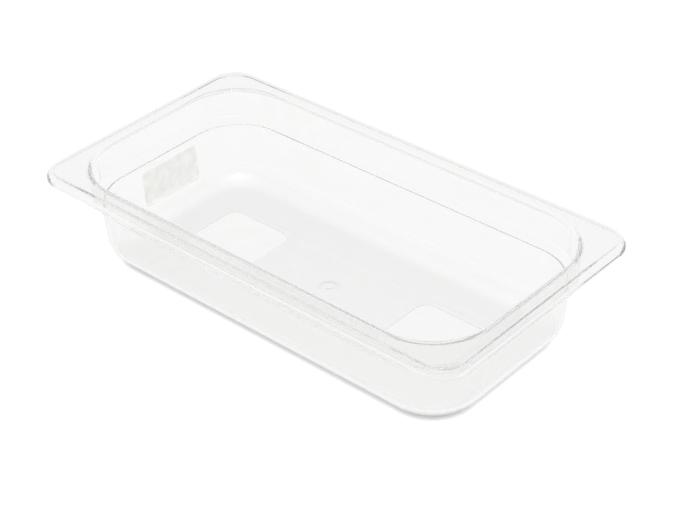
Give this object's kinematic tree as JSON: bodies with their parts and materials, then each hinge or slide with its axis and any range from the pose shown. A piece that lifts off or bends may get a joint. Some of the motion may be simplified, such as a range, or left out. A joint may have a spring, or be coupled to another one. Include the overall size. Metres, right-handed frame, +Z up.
{
  "type": "deli food pan",
  "caption": "Shallow rectangular food pan in clear plastic with rounded corners, a hanging rim with a sloping lip, an inner stacking ledge and a frosted base.",
  "frame": {"origin": "on the resting plane, under the middle of the pan", "axes": "+X along the pan, away from the label; +Y across it; +Z up out of the opening"},
  "size_m": [0.325, 0.176, 0.065],
  "materials": {
    "clear_plastic": "clear moulded polycarbonate, polished inside and out, with a fine frosted grain under the base",
    "label_paper": "blank matt adhesive label"
  },
  "bodies": {
    "root": {"pan": "clear_plastic", "end_label": "label_paper"}
  },
  "joints": []
}
